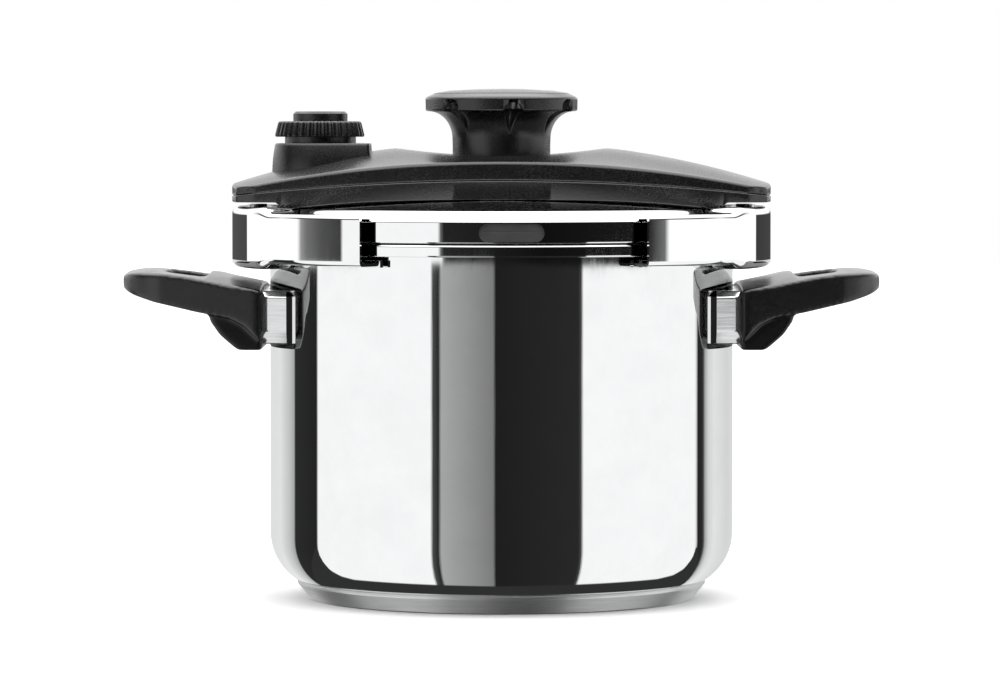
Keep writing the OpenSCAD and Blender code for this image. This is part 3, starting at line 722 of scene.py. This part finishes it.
def drop(distance, radius):
    reach = max(0, radius - distance)
    return radius - math.sqrt(radius * radius - reach * reach)


def build_upper_cover():
    """Crowned moulding over the slide, with a dish round the knob and a turret for the valve."""
    radius = 1.4 * MM
    us = spread(150, 6, radius / COVER_L)
    vs = spread(44, 6, radius / COVER_W)

    def roof(x, y, u, v, inset):
        side = (1 - abs(v)) * (half_width(x) - inset)
        end = (1 - abs(u)) * (COVER_L - inset)
        return roof_at(x, y) - inset - drop(side, radius) - drop(end, radius)

    def shell(inset):
        top = [(*cover_point(u, v, inset), u, v) for u in us for v in vs]
        return [(x, y, roof(x, y, u, v, inset)) for x, y, u, v in top]

    rows, columns = len(us), len(vs)
    outer, inner = shell(0), shell(COVER_SHEET)
    rim = [j for j in range(columns)] + [i * columns + columns - 1 for i in range(1, rows)]
    rim += [(rows - 1) * columns + j for j in range(columns - 2, -1, -1)]
    rim += [i * columns for i in range(rows - 2, 0, -1)]
    verts = outer + inner
    faces = grid_faces(rows, columns, False, False)
    faces += [tuple(k + len(outer) for k in face) for face in faces]
    rings = []
    for skin, start, steps in ((outer, 0, UPPER_LIP), (inner, len(outer), ((0, 0.02),))):
        ring = [start + k for k in rim]
        rings.append(ring)
        for back, lift in steps:
            base = len(verts)
            for k in rim:
                x, y, _ = skin[k]
                shrink = 1 - back * MM / math.hypot(x, y)
                verts.append((x * shrink, y * shrink, seam_at(x) + lift * MM))
            rings.append([base + i for i in range(len(rim))])
    outside, inside = rings[:len(UPPER_LIP) + 1], rings[len(UPPER_LIP) + 1:]
    pairs = list(zip(outside, outside[1:])) + list(zip(inside, inside[1:])) + [(outside[-1], inside[-1])]
    for first, second in pairs:
        for i in range(len(rim)):
            k = (i + 1) % len(rim)
            faces.append((first[i], first[k], second[k], second[i]))
    cover = make("upper_cover_moulding", verts, faces, GRAIN, 42)

    turret = build_turret()
    cut(cover, turret, operation="UNION")
    for x, r, z0, z1 in ((0, HOLE_R, 190 * MM, 230 * MM), (PIN_X, PIN_HOLE_R, 190 * MM, 230 * MM),
                         (VALVE_X, 20 * MM, 190 * MM, TURRET_Z - 2.5 * MM),
                         (VALVE_X, 17.1 * MM, 190 * MM, 230 * MM)):
        cut(cover, lathe("hole_tool", [(0, z0), (r, z0), (r, z1), (0, z1)], GRAIN, 128, (x, 0), closed=False))
    crisp(cover, 32)
    return ready(cover, "lid", "black_grain", "upper_cover")


# Side of the turret, in millimetres: height above its foot, then how far it stands out
TURRET_SIDE = (
    (0, 1.5), (6, 1.25), (9.5, 1.0), (13, 0.55), (15.6, 0.12), (16.4, -0.05), (16.75, -0.25), (16.95, -0.55),
    (17, -0.95),
)


def turret_outline(grow):
    """Round toward the end of the cover, flat sided toward the knob, ending in a rounded face."""
    r = 23 * MM + grow
    half = 20.2 * MM + grow
    edge = 22.8 * MM
    corners = []
    start = math.degrees(math.asin(min(1, half / r)))
    for i in range(41):
        a = math.radians(start + (360 - 2 * start) * i / 40)
        corners.append((r * math.cos(a), r * math.sin(a)))
    back, front = r * math.cos(math.radians(start)) - 1 * MM, edge + grow * 0.4
    nose = rounded([(back, -half, 0), (front, -half, 3 * MM), (front, half, 3 * MM), (back, half, 0)],
                   steps=8, closed=False)
    return corners + nose[1:-1]


def build_turret():
    """Tapered stand for the valve, rounded along its top edge and filleted into the roof."""
    base = TURRET_Z - TURRET_SIDE[-1][0] * MM
    verts = []
    for height, grow in TURRET_SIDE:
        verts += [(x + VALVE_X + 1.2 * MM, y, base + height * MM) for x, y in turret_outline(grow * MM)]
    count = len(turret_outline(0))
    faces = grid_faces(len(TURRET_SIDE), count, False, True)
    faces += [tuple(range(count)), tuple(range(len(verts) - 1, len(verts) - count - 1, -1))]
    return make("turret_tool", verts, faces, GRAIN, 35)


# Section of the skirt: which side, which height it follows, and (inward, above) in millimetres
LOWER_LIP = (
    ("path", "under", 0.3, 0), ("path", "under", 0, 0.3),
    ("path", "seam", 0, -1.1), ("path", "seam", -0.1, -0.9), ("path", "seam", -0.12, -0.7),
    ("path", "seam", 0, -0.4), ("path", "seam", 0.3, -0.14), ("path", "seam", 0.7, -0.02),
    ("inner", "seam", 0, -0.02), ("inner", "crown", 0, 0.25),
)


def over_crown(x):
    """Height of the lid's crown under the cover's wall, or the cover's step near its ends."""
    crown = CROWN_Z - (x * x + half_width(x) ** 2) / (2 * CROWN_R)
    return max(crown, under_at(x) - 2.5 * MM) if abs(x) < 99 * MM else under_at(x)


def build_lower_cover():
    """Skirt under the moulded roof, which follows the lid's crown and steps up at its ends."""
    us = [-1 + 2 * i / 160 for i in range(161)]
    ends = [-1 + 2 * i / 40 for i in range(41)]

    def round_route(inset):
        front = [cover_point(u, -1, inset) for u in us] + [cover_point(1, v, inset) for v in ends[1:]]
        back = [cover_point(u, 1, inset) for u in us[-2::-1]]
        return front + back + [cover_point(-1, v, inset) for v in ends[-2:0:-1]]

    path, inner = round_route(0), round_route(COVER_SHEET)
    verts = []
    rings = []
    for route, level, back, lift in LOWER_LIP:
        route = path if route == "path" else inner
        rings.append([len(verts) + i for i in range(len(route))])
        for i, (x, y) in enumerate(route):
            shrink = 1 - back * MM / math.hypot(x, y)
            base = {"under": under_at, "seam": seam_at, "crown": over_crown}[level](path[i][0])
            verts.append((x * shrink, y * shrink, base + lift * MM))
    faces = []
    count = len(path)
    for first, second in zip(rings, rings[1:] + rings[:1]):
        for i in range(count):
            k = (i + 1) % count
            faces.append((first[i], first[k], second[k], second[i]))
    skirt = make("lower_cover_skirt", verts, faces, GRAIN, 42)
    for x in (-STRAP_X, STRAP_X):
        half = half_width(x) - 1 * MM
        plan = [(x - 5 * MM, -half), (x + 5 * MM, -half), (x + 5 * MM, half), (x - 5 * MM, half)]
        cut(skirt, prism("strap_tool", plan, 197 * MM, 199.2 * MM, along_z, GRAIN), operation="UNION")
        for y in (-STRAP_Y, STRAP_Y):
            low, high = CROWN_Z + SHEET, 198 * MM
            wall = [(1.5 * MM, low), (4 * MM, low), (4 * MM, high), (1.5 * MM, high)]
            cut(skirt, lathe("post_tool", wall, GRAIN, 32, (x, y)), operation="UNION")
    crisp(skirt, 42)
    ready(skirt, "lid", "black_grain", "lower_cover")


# ---------------------------------------------------------------- regulator

TEETH = 36


def build_regulator():
    """Toothed selector ring with a smooth pointer, on a round neck."""
    low_z = high("regulator_knob")[2] - 7.5 * MM
    high_z = high("regulator_knob")[2]
    bore = 11 * MM
    skirt = rounded([
        (17 * MM, low_z + 0.2 * MM, 0), (VALVE_R - 0.2 * MM, low_z, 0.7 * MM),
        (VALVE_R - 0.3 * MM, low_z + 1.5 * MM, 0), (VALVE_R - 1.8 * MM, high_z, 1.3 * MM), (bore, high_z, 0),
    ], steps=6, closed=False)
    neck_low = low("regulator_knob")[2]
    outline = [(bore, neck_low), (17 * MM, neck_low)] + skirt
    pitch = 360 / TEETH
    segments = TEETH * 16
    verts = []
    for i in range(segments):
        angle = 360 * i / segments
        off = abs((angle - 180 + 180) % 360 - 180)
        phase = (angle + pitch / 2) % pitch - pitch / 2
        groove = 1.5 * MM * max(0, math.cos(math.radians(phase * 180 / pitch * 1.5))) ** 0.8
        if off <= 1.6 * pitch:
            groove = 0
        bulge = 0.7 * MM * smoothstep(1.7 * pitch, 1.1 * pitch, off)
        a = math.radians(angle)
        for r, z in outline:
            share = smoothstep(17.5 * MM, 19 * MM, r)
            r2 = r - groove * share + bulge * share
            verts.append((VALVE_X + r2 * math.cos(a), r2 * math.sin(a), z))
    faces = grid_faces(segments, len(outline), True, True)
    ready(make("regulator_ring", verts, faces, SATIN, 40), "regulator", "black_satin", "regulator_knob")
    seat = low("regulator_cap")[2]
    top = high("regulator_cap")[2]
    cap = rounded([
        (0, seat, 0), (13 * MM, seat, 0), (13 * MM, top - 1.1 * MM, 0.3 * MM), (11.9 * MM, top, 0.5 * MM),
        (9 * MM, top + 0.05 * MM, 0), (0, top + 0.1 * MM, 0),
    ], steps=5, closed=False)
    ready(lathe("regulator_button", cap, SATIN, 128, (VALVE_X, 0), closed=False, sharp=40),
          "regulator", "black_satin", "regulator_cap")


# ---------------------------------------------------------------- handles and flame guards

ROOT_HALF = 51.5 * MM
ROOT_TAPER = 0.4


def root_outline(inset, roundness, x):
    """Section across the handle's root, a little narrower away from the pot."""
    y = ROOT_HALF - inset - ROOT_TAPER * (x - low("right_flame_guard")[0])
    top, bottom = 148.5 * MM - inset, 123.4 * MM + inset
    r = roundness
    return rounded([
        (-y, 129.7 * MM, r), (-y, 145.6 * MM, r), (3 * MM - y, top, r), (y - 3 * MM, top, r),
        (y, 145.6 * MM, r), (y, 129.7 * MM, r), (y - 6 * MM, bottom, r), (6 * MM - y, bottom, r),
    ], steps=6)


def loft(name, rings, material, sharp=30, wrap=False):
    """Solid through equal rings of points, closed at both ends or joined end to end."""
    verts = [p for ring in rings for p in ring]
    count = len(rings[0])
    faces = grid_faces(len(rings), count, wrap, True)
    if not wrap:
        faces += [tuple(range(count)), tuple(range(len(verts) - 1, len(verts) - count - 1, -1))]
    return make(name, verts, faces, material, sharp)


def pot_space(clearance, material):
    """Cylinder a little wider than the pot, which keeps a piece clear of its wall."""
    bottom, top, r = 100 * MM, 170 * MM, POT_R + clearance
    return lathe("pot_tool", [(0, bottom), (r, bottom), (r, top), (0, top)], material, 256, closed=False)


def build_guard(side, name, node):
    """Folded steel sleeve that keeps the flame off the handle's root."""
    sheet = 0.8 * MM
    start, end = low("right_flame_guard")[0], high("right_flame_guard")[0]

    def ring(inset, roundness, x):
        return [(side * x, side * y, z) for y, z in root_outline(inset, roundness, x)]

    rings = [ring(0, 1.6 * MM, start), ring(0, 1.6 * MM, end - 0.3 * MM), ring(0.2 * MM, 1.5 * MM, end),
             ring(sheet, 1 * MM, end), ring(sheet, 1 * MM, start)]
    guard = loft(name, rings, GUARD_STEEL, 30, wrap=True)
    cut(guard, pot_space(0.3 * MM, STEEL))
    crisp(guard, 30)
    ready(guard, "pot", "steel_polished", node)


# Heights along the grip, in millimetres: distance from the pot's centre, then height
GRIP_EDGE = (
    (113, 149), (129, 151.2), (147.5, 154.9), (160, 156.4), (170, 156.7), (177.5, 156), (180.5, 154.8),
)
GRIP_MIDDLE = (
    (113, 151.6), (126, 154.4), (135, 156.6), (139.3, 157), (140.6, 155.2), (152, 156.8), (166, 158.3),
    (173, 158), (178, 157), (180.5, 155.4),
)
GRIP_UNDER = (
    (113, 124.5), (117.2, 127.8), (121.6, 132.3), (128.3, 135.6), (143.2, 138.2), (164.7, 143), (174.5, 146),
    (178.5, 147.8), (180.5, 149.2),
)
# Outline of the web under the grip, seen from the front
GUSSET = (
    (113, 120.4), (124, 120.4), (126.4, 121.9), (133, 127.6), (137.5, 134), (139, 142), (113, 146),
)


def along(table, x):
    """Height from a table of (distance, height) pairs."""
    x = x / MM
    place = max(1, min(len(table) - 1, bisect.bisect_left([d for d, _ in table], x)))
    (x0, z0), (x1, z1) = table[place - 1], table[place]
    return (z0 + (z1 - z0) * min(1, max(0, (x - x0) / (x1 - x0)))) * MM


def grip_half(x):
    """Half of the grip's width: straight arms that run into a round tip."""
    tip_r, tip_y = 28 * MM, 13 * MM
    centre = HANDLE_TIP - tip_r
    bend = centre + tip_r * math.cos(math.radians(70))
    shoulder = tip_y + tip_r * math.sin(math.radians(70))
    if x >= bend:
        return tip_y + math.sqrt(max(0, tip_r ** 2 - (x - centre) ** 2))
    root = ROOT_HALF - 1.4 * MM
    return root + (shoulder - root) * max(0, (x - 116 * MM) / (bend - 116 * MM))


def build_grip(side, name, node):
    """Moulded grip: a crowned blade with a finger hole, a gusset and a root inside the guard."""
    stations = [113 * MM + (HANDLE_TIP - 114 * MM) * i / 44 for i in range(45)]
    stations += [HANDLE_TIP - 1 * MM + 1 * MM * math.sin(math.radians(22.5 * i)) for i in range(1, 5)]
    across = [-1 + 2 * j / 24 for j in range(25)]
    rings = []
    for x in stations:
        half = grip_half(x)
        edge, middle, under = along(GRIP_EDGE, x), along(GRIP_MIDDLE, x), along(GRIP_UNDER, x)
        ring = [(x, half * s, edge + (middle - edge) * (1 - s * s)) for s in across]
        ring += [(x, half * s, under) for s in across[::-1]]
        rings.append(ring)
    grip = loft(name, rings, SATIN)
    gusset = prism("gusset_tool", [(x * MM, z * MM) for x, z in GUSSET], -43 * MM, 43 * MM, along_y, SATIN)
    cut(grip, gusset, operation="UNION")
    r = 10 * MM
    reach = 18 * MM
    hole = []
    for sign, start in ((1, 0), (-1, 180)):
        for i in range(17):
            a = math.radians(start + 180 * i / 16)
            hole.append((150 * MM + r * math.cos(a), sign * reach + r * math.sin(a)))
    cut(grip, prism("hole_tool", hole, 100 * MM, 200 * MM, along_z, SATIN))
    modified(grip, "REMESH", mode="VOXEL", voxel_size=0.8 * MM)
    modified(grip, "SMOOTH", factor=0.5, iterations=12)
    start = low("right_flame_guard")[0] - 1.2 * MM
    sections = [[(x, y, z) for y, z in root_outline(0.9 * MM, 1.5 * MM, x)] for x in (start, 117 * MM)]
    cut(grip, loft("root_tool", sections, SATIN), operation="UNION")
    cut(grip, pot_space(2.2 * MM, SATIN))
    if side < 0:
        grip.data.transform(Matrix.Rotation(math.pi, 4, "Z"))
    crisp(grip, 38)
    ready(grip, "pot", "black_satin", node)


# ---------------------------------------------------------------- floor, light and camera

def build_floor():
    """Plain pale floor; it takes the soft shadow but isn't mirrored in the steel."""
    size = 6
    floor = make("studio_floor", [(-size, -size, 0), (size, -size, 0), (size, size, 0), (-size, size, 0)],
                 [(0, 1, 2, 3)], floor_material())
    floor.visible_glossy = False


def floor_material():
    g = Graph("studio_floor")
    cloudy = g.noise(3, 3, 0.5)
    colour = g.blend(g.span(cloudy, 0.3, 0.7, 0, 1), (0.93, 0.93, 0.93), (0.95, 0.95, 0.95))
    return g.finish(colour, g.span(cloudy, 0.3, 0.7, 0.6, 0.7))


def directions(nodes, links):
    """Degrees round from the front, lean, height and share of white backdrop for a direction.

    The first two follow the wall that would mirror that direction to someone standing in front:
    twice the wall's turn to the right, and the sine of the wall's lean toward the floor.
    """
    place = nodes.new("ShaderNodeTexCoord").outputs["Generated"]
    split = nodes.new("ShaderNodeSeparateXYZ")
    links.new(place, split.inputs["Vector"])

    def math_node(operation, a, b):
        node = nodes.new("ShaderNodeMath")
        node.operation = operation
        for socket, value in zip(node.inputs, (a, b)):
            if isinstance(value, (int, float)):
                socket.default_value = value
            else:
                links.new(value, socket)
        return node.outputs["Value"]

    ahead = math_node("SUBTRACT", 1, split.outputs["Y"])
    turn = math_node("ARCTAN2", split.outputs["X"], ahead)
    unit = nodes.new("ShaderNodeMapRange")
    for name, value in (("From Min", -math.pi / 2), ("From Max", math.pi / 2)):
        unit.inputs[name].default_value = value
    links.new(turn, unit.inputs["Value"])
    across = math_node("POWER", math_node("MULTIPLY", ahead, 2), 0.5)
    downward = math_node("MULTIPLY", split.outputs["Z"], -1)
    lean = math_node("DIVIDE", downward, math_node("MAXIMUM", across, 0.001))
    behind = nodes.new("ShaderNodeMapRange")
    for name, value in (("From Min", 0.8), ("From Max", 0.5)):
        behind.inputs[name].default_value = value
    links.new(ahead, behind.inputs["Value"])
    rear = nodes.new("ShaderNodeMapRange")
    rear.inputs["From Max"].default_value = 0.05
    links.new(split.outputs["Z"], rear.inputs["Value"])
    backdrop = math_node("MULTIPLY", behind.outputs["Result"], rear.outputs["Result"])
    return unit.outputs["Result"], lean, split.outputs["Z"], backdrop


def ramp(nodes, links, source, stops):
    """Grey levels against degrees, straight between stops."""
    node = nodes.new("ShaderNodeValToRGB")
    elements = node.color_ramp.elements
    while len(elements) > 1:
        elements.remove(elements[-1])
    for i, (degrees, level) in enumerate(stops):
        spot = (degrees + 180) / 360
        element = elements[0] if i == 0 else elements.new(spot)
        element.position = spot
        element.color = (level, level, level, 1)
    links.new(source, node.inputs["Fac"])
    return node.outputs["Color"]


WHITE = 1.12
# Surroundings below eye level, by degrees round from the front: sheets, gaps and a grey flag
LOW_STOPS = (
    (-180, 0.74), (-143, 0.88), (-130, 0.64), (-124.9, 0.45), (-124.1, 0.03), (-104, 0.02), (-103, WHITE),
    (-35, WHITE), (-34.5, 0.09), (-30.3, 0.012), (-29.7, 0.46), (-3.5, 0.24), (-2.9, 0.016),
    (38.4, 0.026), (40, 0.1), (40.5, WHITE), (112.3, WHITE), (113, 0.02), (119.4, 0.03),
    (120, 0.34), (124.5, 0.78), (131, 0.9), (150, 0.75), (180, 0.74),
)
# Lean at which the dark floor begins, by the same degrees
FLOOR_STOPS = (
    (-180, 0.95), (-124, 0.95), (-104, 0.1), (-102, 0.34), (-98, 0.52), (-92, 0.61), (-84, 0.65), (0, 0.68),
    (90, 0.65), (101, 0.61), (107, 0.52), (111, 0.34), (113, 0.1), (124, 0.95), (180, 0.95),
)
FLOOR_LEVEL = 0.035
GAP_LEVEL = 0.04
# The same a little above it
HIGH_STOPS = (
    (-180, 0.09), (-134.2, 0.07), (-133.4, 1.3), (-100.5, 1.3), (-99, 0.4), (-95, 0.2), (-86, 0.1),
    (-74.2, 0.055), (-73.4, WHITE), (-29, WHITE), (-28, 0.02), (20, 0.006), (67, 0.012), (68.5, 0.035),
    (76, 0.2), (78.5, 1.3), (133.4, 1.3), (134.2, 0.05), (180, 0.07),
)


def build_world():
    """Studio surroundings: a dark gap behind the camera's place, white sheets beside it, a bright ceiling."""
    world = bpy.data.worlds.new("studio")
    world.use_nodes = True
    bpy.context.scene.world = world
    nodes, links = world.node_tree.nodes, world.node_tree.links
    degrees, lean, upward, backdrop = directions(nodes, links)
    low_band = ramp(nodes, links, degrees, LOW_STOPS)
    high_band = ramp(nodes, links, degrees, HIGH_STOPS)

    def step(low_edge, high_edge):
        node = nodes.new("ShaderNodeMapRange")
        node.interpolation_type = "SMOOTHSTEP"
        for name, value in (("From Min", low_edge), ("From Max", high_edge)):
            node.inputs[name].default_value = value
        links.new(upward, node.inputs["Value"])
        return node.outputs["Result"]

    def step_past(source, stops, width):
        """Rises from the height that the stops give at each place, over the given width."""
        edge = ramp(nodes, links, degrees, stops)
        past = nodes.new("ShaderNodeMath")
        past.operation = "SUBTRACT"
        links.new(source, past.inputs[0])
        links.new(edge, past.inputs[1])
        node = nodes.new("ShaderNodeMapRange")
        node.interpolation_type = "SMOOTHSTEP"
        node.inputs["From Max"].default_value = width
        links.new(past.outputs["Value"], node.inputs["Value"])
        return node.outputs["Result"]

    def mix(factor, first, second):
        node = nodes.new("ShaderNodeMix")
        node.data_type = "RGBA"
        links.new(factor, node.inputs["Factor"])
        for name, value in (("A", first), ("B", second)):
            if isinstance(value, float):
                node.inputs[name].default_value = (value, value, value, 1)
            else:
                links.new(value, node.inputs[name])
        return node.outputs["Result"]

    lower = mix(step_past(lean, FLOOR_STOPS, 0.03), low_band, FLOOR_LEVEL)
    bands = mix(step(-0.0275, -0.026), lower, high_band)
    gap = mix(step(0.1, 0.14), bands, GAP_LEVEL)
    ceiling = mix(step(0.3, 0.42), mix(backdrop, gap, 1.25), 1.25)
    whole = mix(step(0.5, 0.75), ceiling, 4.0)
    reflected = nodes["Background"]
    links.new(whole, reflected.inputs["Color"])

    def plain(level):
        node = nodes.new("ShaderNodeBackground")
        node.inputs["Color"].default_value = (level, level, level, 1)
        return node.outputs["Background"]

    path = nodes.new("ShaderNodeLightPath")
    source = reflected.outputs["Background"]
    for ray, level in (("Is Diffuse Ray", 1.15), ("Is Camera Ray", 1.0)):
        choice = nodes.new("ShaderNodeMixShader")
        links.new(path.outputs[ray], choice.inputs["Fac"])
        links.new(source, choice.inputs[1])
        links.new(plain(level), choice.inputs[2])
        source = choice.outputs["Shader"]
    links.new(source, nodes["World Output"].inputs["Surface"])


def build_lights():
    """One broad soft light from above, besides the white surroundings."""
    data = bpy.data.lights.new("overhead", "SUN")
    data.energy = 0.6
    data.angle = math.radians(60)
    lamp = bpy.data.objects.new("overhead", data)
    bpy.context.scene.collection.objects.link(lamp)
    lamp.location = (0, 0, 2)
    lamp.visible_glossy = False


def build_camera():
    data = bpy.data.cameras.new("camera")
    data.lens = 180
    data.sensor_width = 36
    camera = bpy.data.objects.new("camera", data)
    bpy.context.scene.collection.objects.link(camera)
    camera.location = (-0.0007, -2.4, 0.224)
    camera.rotation_mode = "QUATERNION"
    camera.rotation_quaternion = (Vector((-0.0007, 0, 0.1187)) - camera.location).to_track_quat("-Z", "Y")
    bpy.context.scene.camera = camera
    bpy.context.scene.view_settings.view_transform = "Standard"


# ---------------------------------------------------------------- assembly

dress_frame()
build_pot()
build_base()
build_lid()
build_gasket()
build_jaw(-1, "left_jaw_channel", "left_jaw", "left_jaw")
build_jaw(1, "right_jaw_channel", "right_jaw", "right_jaw")
build_knob()
build_upper_cover()
build_lower_cover()
build_regulator()
for side, word in ((-1, "left"), (1, "right")):
    build_guard(side, word + "_guard_sleeve", word + "_flame_guard")
    build_grip(side, word + "_grip", word + "_handle")
build_floor()
build_world()
build_lights()
build_camera()
